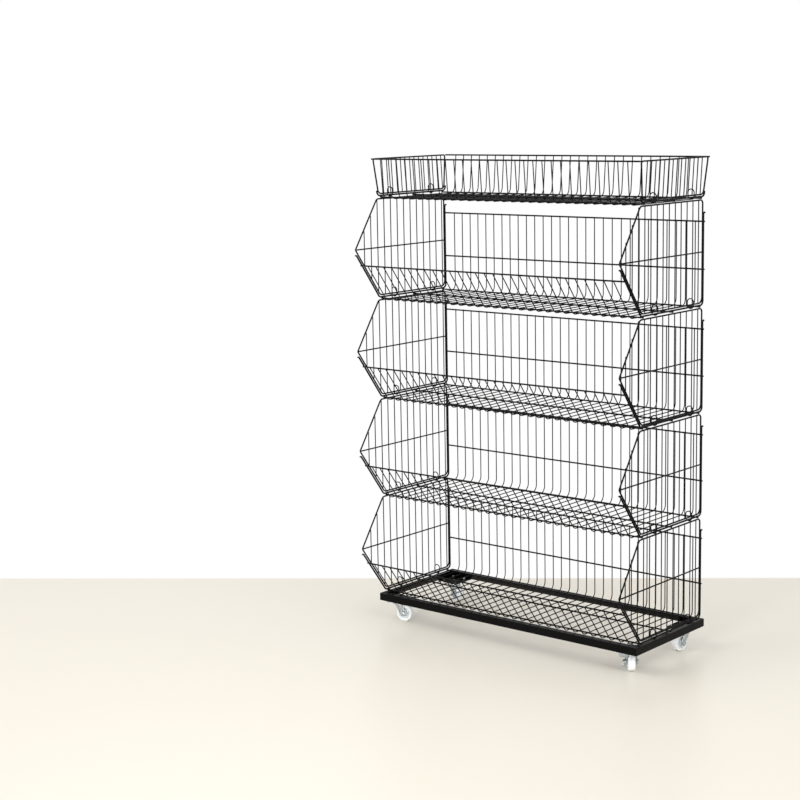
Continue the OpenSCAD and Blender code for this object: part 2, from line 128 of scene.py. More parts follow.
class Finish:
    """A procedural material, with short ways to add its nodes."""

    def __init__(self, name: str) -> None:
        """Starts a material with a Principled shader.

        Args:
            name: name of the material.
        """
        self.material = bpy.data.materials.new(name)
        self.material.use_nodes = True
        self.tree = self.material.node_tree
        self.shader = self.tree.nodes["Principled BSDF"]
        self.place = self.add("TexCoord", {})["Object"]

    def add(self, kind: str, inputs: dict, **settings: object) -> object:
        """Adds a node, as add_node does, and returns its outputs."""
        return add_node(self.tree, kind, inputs, **settings)

    def set(self, **values: object) -> None:
        """Gives the shader's inputs, named with _ for a space, a socket or a value each."""
        for name, value in values.items():
            feed(self.tree, self.shader.inputs[name.replace("_", " ")], value)

    def noise(self, scale: float, detail: float = 3, rough: float = 0.5,
              stretch: tuple = (1, 1, 1)) -> object:
        """Adds noise on object coordinates.

        Args:
            scale: cells in a metre.
            detail: octaves.
            rough: strength of the finer octaves.
            stretch: scale along each axis.

        Returns:
            The noise's value socket.
        """
        place = self.add("Mapping", {"Vector": self.place, "Scale": stretch})["Vector"]
        inputs = {"Vector": place, "Scale": scale, "Detail": detail, "Roughness": rough}
        return self.add("TexNoise", inputs)["Fac"]

    def spread(self, value: object, low: float, high: float, start: float = 0.3, end: float = 0.7) -> object:
        """Maps a value's socket so that start gives low and end gives high."""
        inputs = {"Value": value, "From Min": start, "From Max": end, "To Min": low, "To Max": high}
        return self.add("MapRange", inputs)["Result"]

    def times(self, a: object, b: object) -> object:
        """Multiplies two sockets."""
        return self.add("Math", {0: a, 1: b}, operation="MULTIPLY")["Value"]

    def facing_up(self) -> object:
        """Returns a value that is 1 on faces that look up."""
        normal = self.add("TexCoord", {})["Normal"]
        return self.spread(self.add("SeparateXYZ", {"Vector": normal})["Z"], 0.0, 1.0, 0.35, 0.95)

    def blend(self, factor: object, low: object, high: tuple) -> object:
        """Mixes a colour, or a colour's socket, at factor 0 with a colour at factor 1."""
        first = (*low, 1) if isinstance(low, tuple) else low
        return self.add("Mix", {"Factor": factor, 6: first, 7: (*high, 1)}, data_type="RGBA")[2]

    def bump(self, *layers: tuple) -> None:
        """Stacks bump layers.

        Args:
            layers: (height socket, strength, distance in metres) of each.
        """
        below = {}
        for height, strength, distance in layers:
            inputs = {"Height": height, "Strength": strength, "Distance": distance, **below}
            below = {"Normal": self.add("Bump", inputs)["Normal"]}
        self.set(**below)


@dataclass(frozen=True)
class BlackCoat:
    """Glossy black powder coat with a fine orange peel and lighter, warmer patches on faces that look up."""

    deep: tuple = (0.0010, 0.0010, 0.0011)
    pale: tuple = (0.0026, 0.0026, 0.0028)
    up_face_tint: tuple = (0.012, 0.0115, 0.0105)
    gloss: tuple = (0.24, 0.42)

    def build(self) -> Material:
        """Returns the material."""
        f = Finish("black_coat_finish")
        body = f.blend(f.spread(f.noise(9, 4), 0, 1), self.deep, self.pale)
        # lighter, warmer noise patches only on faces that look up
        up_face_patches = f.times(f.facing_up(), f.spread(f.noise(60, 5, 0.65), 0.0, 0.38, 0.42, 0.75))
        f.set(Base_Color=f.blend(up_face_patches, body, self.up_face_tint))
        f.set(Roughness=f.spread(f.noise(38, 4, 0.6), *self.gloss))
        f.set(Coat_Weight=0.03, Coat_Roughness=0.12, IOR=1.5, Specular_IOR_Level=0.06)
        f.bump((f.noise(160, 2), 0.25, 0.0002), (f.noise(1300, 3), 0.3, 0.00005))
        return f.material


@dataclass(frozen=True)
class ZincPlate:
    """Bright zinc plate, faintly blue, with a mottled lustre."""

    cool: tuple = (0.34, 0.39, 0.42)
    warm: tuple = (0.64, 0.67, 0.68)
    gloss: tuple = (0.20, 0.42)

    def build(self) -> Material:
        """Returns the material."""
        f = Finish("zinc_plate_finish")
        f.set(Base_Color=f.blend(f.spread(f.noise(170, 5, 0.7), 0, 1), self.cool, self.warm), Metallic=1.0)
        f.set(Roughness=f.spread(f.noise(420, 3), *self.gloss))
        f.bump((f.noise(260, 3), 0.2, 0.0001), (f.noise(2200, 2), 0.25, 0.00003))
        return f.material


@dataclass(frozen=True)
class WhiteNylon:
    """Moulded white nylon, slightly translucent, scuffed by the floor."""

    clean: tuple = (0.90, 0.92, 0.93)
    scuffed: tuple = (0.74, 0.75, 0.74)
    gloss: tuple = (0.28, 0.46)

    def build(self) -> Material:
        """Returns the material."""
        f = Finish("white_nylon_finish")
        scuffs = f.spread(f.noise(340, 5, 0.7, (1, 1, 2.5)), 0.0, 0.55, 0.56, 0.78)
        f.set(Base_Color=f.blend(scuffs, self.clean, self.scuffed), IOR=1.53)
        f.set(Roughness=f.spread(f.noise(200, 3), *self.gloss))
        f.set(Subsurface_Weight=0.25, Subsurface_Scale=0.6, Subsurface_Radius=(0.004, 0.0042, 0.0045))
        f.bump((f.noise(1500, 2), 0.2, 0.00004))
        return f.material


@dataclass(frozen=True)
class RecessShadeHub:
    """Painted shade: nylon coloured darker and bluer than the tread, standing for the shade in the wheels'
    recessed middle.
    """

    dark: tuple = (0.62, 0.70, 0.74)
    pale: tuple = (0.78, 0.84, 0.87)
    gloss: tuple = (0.34, 0.5)

    def build(self) -> Material:
        """Returns the material."""
        f = Finish("recess_shade_hub_finish")
        # painted shade of the recess: darker, bluish tones mixed by noise
        f.set(Base_Color=f.blend(f.spread(f.noise(220, 4, 0.6), 0, 1), self.dark, self.pale))
        f.set(Roughness=f.spread(f.noise(500, 3), *self.gloss))
        f.bump((f.noise(1400, 2), 0.25, 0.00004))
        return f.material


@dataclass(frozen=True)
class PaleFloor:
    """Pale floor that ends in white where the room's wall begins."""

    tone: tuple = (0.73, 0.685, 0.60)
    rough: float = 0.32
    edge: float = 0.63
    blur: float = 0.012
    turn: float = 0.639

    def build(self) -> Material:
        """Returns the material."""
        f = Finish("pale_floor_finish")
        inputs = {"Vector": f.place, "Rotation": (0, 0, -self.turn)}
        turned = f.add("Mapping", inputs, vector_type="POINT")["Vector"]
        depth = f.add("SeparateXYZ", {"Vector": turned})["Y"]
        beyond = f.spread(depth, 0.0, 1.0, self.edge, self.edge + self.blur)
        f.set(Base_Color=(*self.tone, 1), Roughness=self.rough)
        white = f.add("Emission", {"Color": WHITE})["Emission"]
        share = f.times(beyond, seen_rays(f.tree))
        swap_surface(f.tree, share, f.shader.outputs["BSDF"], white, "Material Output")
        return f.material


@dataclass
class Palette:
    """Every finish of the rack, made once."""

    coat: Material = field(default_factory=BlackCoat().build)
    zinc: Material = field(default_factory=ZincPlate().build)
    nylon: Material = field(default_factory=WhiteNylon().build)
    # painted shade: darker, bluish colour for the wheels' recessed middle
    hub: Material = field(default_factory=RecessShadeHub().build)


# Workshop


@dataclass
class WirePath:
    """A wire's route: straight lengths, each with a bend after it, to the left if its angle is positive."""

    start: Vector
    heading: Vector
    axis: Vector
    steps: list
    closed: bool = False


class WireBender:
    """Makes round wire in a bmesh: it extrudes the straights and spins the bends.

    An open wire's ends are domes of two rings, whose sizes and heights are shares of its radius.
    """

    TIP = 0.45
    SHOULDER = 0.82
    TIP_RISE = 0.25
    SHOULDER_RISE = 0.35
    DOME = 0.6
    BEND_STEP = math.radians(13)
    MERGE = 2e-5

    def __init__(self, bm: BMesh, diameter: float, sides: int = 12) -> None:
        """Sets the mesh that the wire is added to, its diameter and the faces round it."""
        self.bm, self.radius, self.sides = bm, diameter / 2, sides

    def run(self, path: WirePath) -> list:
        """Makes one wire.

        Args:
            path: its route.

        Returns:
            The wire's vertices.
        """
        before = set(self.bm.verts)
        self.at, self.heading, self.axis = path.start.copy(), path.heading.normalized(), path.axis
        self._begin(path.closed)
        for length, angle, bend_radius in path.steps:
            self._straight(length)
            if angle:
                self._bend(angle, bend_radius)
        if path.closed:
            made = [v for v in self.bm.verts if v not in before]
            bmesh.ops.remove_doubles(self.bm, verts=made, dist=self.MERGE)
        else:
            self._dome()
        return [v for v in self.bm.verts if v not in before]

    def _begin(self, closed: bool) -> None:
        """Draws the first ring, at the tip of a dome unless the wire closes."""
        turn = self.heading.to_track_quat("Z", "Y").to_matrix().to_4x4()
        radius = self.radius if closed else self.radius * self.TIP
        self.verts = bmesh.ops.create_circle(
            self.bm, cap_ends=not closed, segments=self.sides, radius=radius,
            matrix=Matrix.Translation(self.at) @ turn,
        )["verts"]
        self.edges = list({e for v in self.verts for e in v.link_edges})
        self.done = 0.0
        if not closed:
            self._ring(self.SHOULDER / self.TIP, self.radius * self.TIP_RISE)
            self._ring(1 / self.SHOULDER, self.radius * self.SHOULDER_RISE)
            self.done = self.radius * self.DOME
            self.at -= self.heading * self.done

    def _take(self, geom: list) -> None:
        """Keeps the newest ring out of an operator's result."""
        self.verts = [g for g in geom if isinstance(g, BMVert)]
        newest = set(self.verts)
        self.edges = [g for g in geom if isinstance(g, BMEdge) and newest.issuperset(g.verts)]

    def _ring(self, scale: float, advance: float) -> None:
        """Extrudes the ring forward and scales it about the wire."""
        self._take(bmesh.ops.extrude_edge_only(self.bm, edges=self.edges)["geom"])
        bmesh.ops.translate(self.bm, vec=self.heading * advance, verts=self.verts)
        self.at += self.heading * advance
        if scale != 1:
            bmesh.ops.scale(self.bm, vec=(scale,) * 3, space=Matrix.Translation(-self.at), verts=self.verts)

    def _straight(self, length: float) -> None:
        """Extrudes a straight length, counted from the wire's own start or the last bend."""
        if length - self.done > 1e-6:
            self.at += self.heading * self.done
            self._ring(1, length - self.done)
        self.done = 0.0

    def _bend(self, angle: float, bend_radius: float) -> None:
        """Spins the ring round a centre on its left, or on its right for a negative angle."""
        centre = self.at + self.axis.cross(self.heading) * math.copysign(bend_radius, angle)
        steps = max(2, math.ceil(abs(angle) / self.BEND_STEP))
        made = bmesh.ops.spin(
            self.bm, geom=self.verts + self.edges, cent=centre, axis=self.axis,
            angle=angle, steps=steps, use_merge=False, use_duplicate=False,
        )
        self._take(made["geom_last"])
        turn = Matrix.Rotation(angle, 3, self.axis)
        self.at = centre + turn @ (self.at - centre)
        self.heading = turn @ self.heading

    def _dome(self) -> None:
        """Rounds the wire's end inside its length, and closes it."""
        back = self.heading * self.radius * self.DOME
        bmesh.ops.translate(self.bm, vec=-back, verts=self.verts)
        self.at -= back
        self._ring(self.SHOULDER, self.radius * self.SHOULDER_RISE)
        self._ring(self.TIP / self.SHOULDER, self.radius * self.TIP_RISE)
        bmesh.ops.edgeloop_fill(self.bm, edges=self.edges)


class Workpiece:
    """One piece of the rack while it is made."""

    def __init__(self, name: str, *finishes: Material) -> None:
        """Starts an empty piece with its name and materials."""
        self.name, self.finishes = name, finishes
        self.bm = bmesh.new()

    def repeat(self, verts: list, offsets: list, sway: float, seed: int) -> None:
        """Copies what some vertices make to further places.

        Args:
            verts: vertices of the original, which moves to the first offset.
            offsets: places, as vectors from where it was made.
            sway: most that a copy leans away along X, as a hand-loaded jig leaves it.
            seed: seed of the sway.
        """
        chance = random.Random(seed)
        linked = set(verts)
        geom = verts + [e for e in self.bm.edges if linked.issuperset(e.verts)]
        geom += [f for f in self.bm.faces if linked.issuperset(f.verts)]
        copies = [verts]
        for _ in offsets[1:]:
            made = bmesh.ops.duplicate(self.bm, geom=geom)["geom"]
            copies.append([g for g in made if isinstance(g, BMVert)])
        for copy, offset in zip(copies, offsets):
            lean = chance.uniform(-sway, sway)
            bmesh.ops.rotate(self.bm, verts=copy, cent=(0, 0, 0), matrix=Matrix.Rotation(lean, 3, "Z"))
            bmesh.ops.translate(self.bm, verts=copy, vec=offset + X_AXIS * chance.uniform(-sway, sway) * 0.1)

    def weld_beads(self, places: list, size: tuple) -> None:
        """Adds a small flattened bead of weld at each crossing.

        Args:
            places: centres of the welds.
            size: half size of a bead along each axis.
        """
        for place in places:
            bmesh.ops.create_uvsphere(
                self.bm, u_segments=8, v_segments=5, radius=1.0,
                matrix=Matrix.Translation(place) @ Matrix.Diagonal((*size, 1)),
            )

    def finish(self, place: Matrix, sharp: float = 40.0) -> Object:
        """Turns the piece into an object that sits at the origin.

        Args:
            place: where the mesh goes, from where it was made.
            sharp: edges over this angle stay sharp in the shading.

        Returns:
            The object.
        """
        bmesh.ops.recalc_face_normals(self.bm, faces=self.bm.faces)
        if place.determinant() < 0:
            bmesh.ops.reverse_faces(self.bm, faces=self.bm.faces)
        limit = math.radians(sharp)
        for face in self.bm.faces:
            face.smooth = True
        for edge in self.bm.edges:
            edge.smooth = len(edge.link_faces) != 2 or edge.calc_face_angle(0) < limit
        self.bm.transform(place)
        mesh = bpy.data.meshes.new(self.name)
        self.bm.to_mesh(mesh)
        self.bm.free()
        for finish in self.finishes:
            mesh.materials.append(finish)
        return link_object(self.name, mesh)


def link_object(name: str, data: bpy.types.ID) -> Object:
    """Makes an object and links it to the scene.

    Args:
        name: its name.
        data: its mesh, camera or light.

    Returns:
        The object.
    """
    made = bpy.data.objects.new(name, data)
    bpy.context.scene.collection.objects.link(made)
    return made


def install(piece: Object, body: str, nodes: list) -> None:
    """Lets a piece ride on its body in place of the frame's nodes, and reports it.

    Args:
        piece: the finished object.
        body: name of the body.
        nodes: nodes that the piece stands for.
    """
    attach(piece, body)
    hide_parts(*nodes)
    log.info("%s on %s: %d faces", piece.name, body, len(piece.data.polygons))


def fill_outline(bm: BMesh) -> None:
    """Fills a flat outline and its holes with triangles."""
    bmesh.ops.triangle_fill(bm, use_beauty=True, use_dissolve=False, edges=bm.edges[:], normal=Z_AXIS)


def draw_up(bm: BMesh, shift: Vector) -> None:
    """Extrudes every face of a mesh by a shift."""
    drawn = bmesh.ops.extrude_face_region(bm, geom=bm.faces[:])["geom"]
    bmesh.ops.translate(bm, vec=shift, verts=[g for g in drawn if isinstance(g, BMVert)])


def round_off(bm: BMesh, corners: list, offset: float, segments: int, clamp: bool = False) -> None:
    """Rounds corners of an outline, and stops where two roundings meet if they are clamped."""
    bmesh.ops.bevel(bm, geom=corners, offset=offset, affect="VERTICES", segments=segments, profile=0.5,
                    material=-1, clamp_overlap=clamp)


def soften(bm: BMesh, offset: float, over: float = 32.0) -> None:
    """Rounds the sharp edges of a closed mesh.

    Args:
        bm: the mesh.
        offset: width of the rounding.
        over: edges over this angle are rounded.
    """
    bmesh.ops.recalc_face_normals(bm, faces=bm.faces)
    limit = math.radians(over)
    sharp = [e for e in bm.edges if len(e.link_faces) == 2 and e.calc_face_angle(0) > limit]
    bmesh.ops.bevel(bm, geom=sharp, offset=offset, affect="EDGES", segments=2, profile=0.5, material=-1,
                    clamp_overlap=True)


def join(target: BMesh, source: BMesh) -> None:
    """Adds one mesh to another and frees it.

    Args:
        target: mesh that grows.
        source: mesh that is added.
    """
    carrier = bpy.data.meshes.new("carrier")
    source.to_mesh(carrier)
    source.free()
    target.from_mesh(carrier)
    bpy.data.meshes.remove(carrier)


def turned(bm: BMesh, profile: list, steps: int, rounding: float = 0.0) -> None:
    """Spins an outline of (radius, height) points round Z into a closed solid.

    Args:
        bm: mesh that it is added to.
        profile: points from the lowest on the axis, or round a bore.
        steps: segments of the turn.
        rounding: rounding of the outline's corners that lie off the axis.
    """
    before = set(bm.verts)
    verts = [bm.verts.new((r, 0, z)) for r, z in profile]
    for a, b in zip(verts, verts[1:]):
        bm.edges.new((a, b))
    if profile[0][0]:
        bm.edges.new((verts[-1], verts[0]))
    if rounding:
        round_off(bm, [v for v in verts if v.co.x > 0], rounding, 3, clamp=True)
    outline = [v for v in bm.verts if v not in before]
    edges = [e for e in bm.edges if e.verts[0] not in before]
    bmesh.ops.spin(bm, geom=outline + edges, cent=(0, 0, 0), axis=Z_AXIS, angle=2 * math.pi, steps=steps,
                   use_merge=True)
    made = [v for v in bm.verts if v not in before]
    bmesh.ops.remove_doubles(bm, verts=made, dist=1e-6)


def hex_solid(across: float, height: float, bore: float = 0.0) -> BMesh:
    """Makes a hexagon nut or head from Z = 0 up, with softened corners.

    Args:
        across: width across flats.
        height: its height.
        bore: radius of its hole, or 0.

    Returns:
        The mesh.
    """
    bm, softening = bmesh.new(), 0.035 * across
    bmesh.ops.create_circle(bm, segments=6, radius=across / 2 / math.cos(math.pi / 6))
    if bore:
        bmesh.ops.create_circle(bm, segments=24, radius=bore)
    fill_outline(bm)
    draw_up(bm, Vector((0, 0, height)))
    soften(bm, softening)
    return bm


def thread(start: float, pitch: float, crest: float, root: float) -> list:
    """Returns the (radius, height) points of eight turns of a thread, from its first crest up."""
    heights = [start + i * pitch for i in range(8)]
    return [point for z in heights for point in ((crest, z), (root, z + pitch / 2))]


# Baskets


@dataclass(frozen=True)
class WireGauge:
    """Diameters of the wires, and how far the layers lie from the end rods' centre line."""

    mesh: float = 0.003
    rail: float = 0.0045
    frame: float = 0.0045
    middle: float = 0.004
    rod: float = 0.005
    loop: float = 0.003
    weld: float = 0.0003

    @property
    def rail_out(self) -> float:
        """Distance of the rails from the rods."""
        return self.rod / 2 + self.rail / 2 - self.weld

    @property
    def mesh_out(self) -> float:
        """Distance of the mesh wires from the rods."""
        return self.rail_out + self.rail / 2 + self.mesh / 2 - self.weld


@dataclass(frozen=True)
class Wall:
    """A bent-up wall of a basket: its lean, its rails and the height of its rods, 0 for stubs."""

    lean: float
    rails: tuple
    hook: float = 0.0

    def rise(self, height: float) -> float:
        """Returns the length up the wall to a height."""
        return height / math.cos(self.lean)


@dataclass
class BasketSizes:
    """Sizes that the baskets and the tray share."""

    width: float = 0.9
    bend: float = 0.013
    inset: float = 0.00565
    overhang: float = 0.002
    rail_step: float = 0.003
    weld_end: float = 0.001
    hook_bend: float = 0.005
    hook_tip: float = 0.001
    stub: float = 0.003
    mesh_pitch: float = 0.030
    loop_radius: float = 0.0095
    loop_leg: float = 0.008
    loop_gap: float = 0.0001
    sway: float = 0.002
    mesh_bead: tuple = (0.0019, 0.0016, 0.0016)
    rod_bead: tuple = (0.0026, 0.0021, 0.0021)
    side_bead: tuple = (0.0016, 0.0019, 0.0017)
    gauge: WireGauge = field(default_factory=WireGauge)

    @property
    def rod_x(self) -> float:
        """Distance of the end rods from the middle."""
        return self.width / 2

    @property
    def mesh_places(self) -> list:
        """Places of the mesh wires along the rack."""
        gaps = round(2 * self.rod_x / self.mesh_pitch)
        return [-self.rod_x + i * 2 * self.rod_x / gaps for i in range(1, gaps)]

    @property
    def rail_reach(self) -> float:
        """Distance of the rails' ends from the middle."""
        return self.width / 2 + self.overhang


@dataclass
class Trough:
    """Floor, back and front of a basket, bent from one welded mesh."""

    name: str
    depth: float
    front: Wall
    back: Wall
    middle_rail: float
    rim_reach: float
    seed: int
    sizes: BasketSizes
    palette: Palette

    def start(self, end: str) -> Workpiece:
        """Starts a piece, given the end of its name."""
        return Workpiece(f"{self.name}_{end}", self.palette.coat)

    def bend_share(self, wall: Wall) -> float:
        """Returns how far a floor bend reaches from the corner."""
        return self.sizes.bend * math.tan((math.pi / 2 - wall.lean) / 2)

    def point(self, wall: Wall, along: float, out: float) -> Vector:
        """Finds a point of a wall.

        Args:
            wall: front or back.
            along: distance up the wall from the floor's corner.
            out: distance outward from the rods.

        Returns:
            The point, at X = 0.
        """
        side = -1 if wall is self.front else 1
        sin, cos = math.sin(wall.lean), math.cos(wall.lean)
        return Vector((0, side * (self.depth / 2 + along * sin + out * cos), along * cos - out * sin))

    def down_front(self) -> Vector:
        """Returns the direction down the front."""
        return Vector((0, math.sin(self.front.lean), -math.cos(self.front.lean)))

    def down_and_up(self, out: float, front_top: float, back_top: float) -> list:
        """Lays out a wire down the front, over the floor and up the back.

        Args:
            out: its distance outward from the rods.
            front_top: its length down the front, to the floor's corner.
            back_top: its length up the back.

        Returns:
            The steps of its route.
        """
        radius = self.sizes.bend + out
        floor = self.depth - self.bend_share(self.front) - self.bend_share(self.back)
        return [
            (front_top - self.bend_share(self.front), math.pi / 2 - self.front.lean, radius),
            (floor, math.pi / 2 - self.back.lean, radius),
            (back_top - self.bend_share(self.back), 0.0, 0.0),
        ]

    def make_mesh(self) -> Object:
        """Makes the thin wires, each bent from the front's top to the back's top."""
        gauge, piece = self.sizes.gauge, self.start("mesh_wires")
        tops = [max(w.rise(h) for h in w.rails) + gauge.rail / 2 for w in (self.front, self.back)]
        tip = self.point(self.front, tops[0], gauge.mesh_out)
        path = WirePath(tip, self.down_front(), X_AXIS, self.down_and_up(gauge.mesh_out, *tops))
        wire = WireBender(piece.bm, gauge.mesh, 10).run(path)
        places = [Vector((x, 0, 0)) for x in self.sizes.mesh_places]
        piece.repeat(wire, places, self.sizes.sway, self.seed)
        return piece.finish(Matrix())

    def rail_centres(self) -> list:
        """Returns (centre line at X = 0, outward direction, reach) of every rail."""
        gauge, sizes = self.sizes.gauge, self.sizes
        front_end = self.depth / 2 - self.bend_share(self.front)
        back_end = self.depth / 2 - self.bend_share(self.back)
        rails = [
            (Vector((0, y, -gauge.rail_out)), Vector((0, 0, -1)), sizes.rail_reach)
            for y in (-front_end + sizes.rail_step, self.middle_rail, back_end - sizes.rail_step)
        ]
        for wall in (self.front, self.back):
            for height in wall.rails:
                near = self.point(wall, wall.rise(height), gauge.rail_out)
                out = self.point(wall, wall.rise(height), gauge.rail_out + 1) - near
                rails.append((near, out, self.rim_reach))
        return rails

    def make_rails(self) -> Object:
        """Makes the rails along the rack."""
        piece = self.start("rails")
        bender = WireBender(piece.bm, self.sizes.gauge.rail, 14)
        for centre, _, reach in self.rail_centres():
            bender.run(WirePath(centre - X_AXIS * reach, X_AXIS, Z_AXIS, [(2 * reach, 0.0, 0.0)]))
        return piece.finish(Matrix())

    def make_rods(self) -> Object:
        """Makes the end rods, which turn outward at the top or end in stubs over the floor's bends."""
        sizes, piece = self.sizes, self.start("end_rods")
        bender = WireBender(piece.bm, sizes.gauge.rod, 16)
        if self.front.hook:
            tops = [w.rise(w.hook) - sizes.hook_bend for w in (self.front, self.back)]
            steps = self.down_and_up(0.0, *tops)
            steps[-1] = (steps[-1][0], -math.pi / 2, sizes.hook_bend)
            steps = [(sizes.hook_tip, -math.pi / 2, sizes.hook_bend), *steps, (sizes.hook_tip, 0.0, 0.0)]
            tip = self.point(self.front, self.front.rise(self.front.hook), sizes.hook_bend + sizes.hook_tip)
            heading = Vector((0, math.cos(self.front.lean), math.sin(self.front.lean)))
        else:
            tops = [self.bend_share(w) + sizes.stub for w in (self.front, self.back)]
            steps = self.down_and_up(0.0, *tops)
            tip = self.point(self.front, tops[0], 0.0)
            heading = self.down_front()
        for x in (-sizes.rod_x, sizes.rod_x):
            bender.run(WirePath(tip + X_AXIS * x, heading, X_AXIS, steps))
        return piece.finish(Matrix())

    def make_welds(self) -> Object:
        """Makes the weld beads where the wires and rods cross the rails."""
        gauge, piece = self.sizes.gauge, self.start("welds")
        for centre, out, _ in self.rail_centres():
            outer, inner = centre + out * (gauge.rail / 2), centre - out * (gauge.rail / 2)
            piece.weld_beads([outer + X_AXIS * x for x in self.sizes.mesh_places], self.sizes.mesh_bead)
            if self.rod_reaches(centre):
                rods = [inner + X_AXIS * x for x in (-self.sizes.rod_x, self.sizes.rod_x)]
                piece.weld_beads(rods, self.sizes.rod_bead)
        return piece.finish(Matrix())

    def rod_reaches(self, centre: Vector) -> bool:
        """Says whether the end rods pass the rail with this centre."""
        wall = self.front if centre.y < 0 else self.back
        return centre.z < max(0.0, wall.hook - self.sizes.hook_bend)

    def make_loops(self, rear: float, pitch: float, slots: tuple) -> Object:
        """Makes the upright loops that the side panels hinge in.

        Args:
            rear: depth of the side panel's back corner.
            pitch: distance between the panel's uprights.
            slots: places of the loops, counted in pitches from the back.

        Returns:
            The object.
        """
        sizes, gauge, piece = self.sizes, self.sizes.gauge, self.start("side_loops")
        bender = WireBender(piece.bm, gauge.loop, 12)
        radius, leg = sizes.loop_radius, sizes.loop_leg
        low = radius - gauge.loop / 2 - gauge.rod / 2 - sizes.loop_gap
        steps = [(0.0, math.pi, radius), (leg, math.pi, radius), (leg, 0.0, 0.0)]
        for side in (-1, 1):
            for slot in slots:
                start = Vector((side * sizes.rod_x + radius, rear - slot * pitch, low + leg))
                bender.run(WirePath(start, Z_AXIS, -Y_AXIS, steps, closed=True))
        return piece.finish(Matrix())


@dataclass
class SidePanel:
    """A hinged side: a bent frame wire with uprights on its inner face."""

    name: str
    corners: list
    bends: tuple
    uprights: list
    lean: float
    middle: tuple
    sizes: BasketSizes
    palette: Palette

    def frame_path(self) -> WirePath:
        """Returns the closed route of the frame wire, anticlockwise from the bottom's middle."""
        count = len(self.corners)
        start = (self.corners[0] + self.corners[1]) / 2
        trims = []
        for i in range(count):
            before, here, after = (self.corners[(i + k) % count] for k in (-1, 0, 1))
            turn = (here - before).angle(after - here)
            trims.append((self.bends[i] * math.tan(turn / 2), turn))
        steps = [((self.corners[1] - start).length - trims[1][0], trims[1][1], self.bends[1])]
        for i in range(2, count + 1):
            here, last = i % count, i - 1
            run = (self.corners[here] - self.corners[last]).length - trims[here][0] - trims[last][0]
            steps.append((run, trims[here][1], self.bends[here]))
        steps.append(((start - self.corners[0]).length - trims[0][0], 0.0, 0.0))
        return WirePath(start, Y_AXIS, X_AXIS, steps, closed=True)

    def make(self, side: int) -> Object:
        """Makes the panel.

        Args:
            side: -1 for the left, 1 for the right.

        Returns:
            The object.
        """
        gauge, sizes = self.sizes.gauge, self.sizes
        piece = Workpiece(self.name, self.palette.coat)
        WireBender(piece.bm, gauge.frame, 14).run(self.frame_path())
        inner = -(gauge.frame / 2 + gauge.mesh / 2 - gauge.weld)
        thin = WireBender(piece.bm, gauge.mesh, 10)
        touch = -gauge.frame / 2
        for y, low, high in self.uprights:
            start = Vector((inner, y, low - sizes.weld_end))
            thin.run(WirePath(start, Z_AXIS, X_AXIS, [(high - low + 2 * sizes.weld_end, 0.0, 0.0)]))
            piece.weld_beads([Vector((touch, y, low)), Vector((touch, y, high))], sizes.side_bead)
        if self.middle:
            front, rear, height = self.middle
            off = gauge.middle / 2 - gauge.frame / 2
            run = WirePath(Vector((off, front, height)), Y_AXIS, X_AXIS, [(rear - front, 0.0, 0.0)])
            WireBender(piece.bm, gauge.middle, 12).run(run)
            crossed = [y for y, low, high in self.uprights if low < height < high]
            piece.weld_beads([Vector((touch, y, height)) for y in crossed], sizes.side_bead)
        hinge = Matrix.Translation((side * sizes.width / 2, 0, sizes.inset))
        lean = Matrix.Rotation(side * self.lean, 4, "Y")
        flip = Matrix.Diagonal((side, 1, 1, 1))
        return piece.finish(hinge @ lean @ flip @ Matrix.Translation((0, 0, -sizes.inset)))


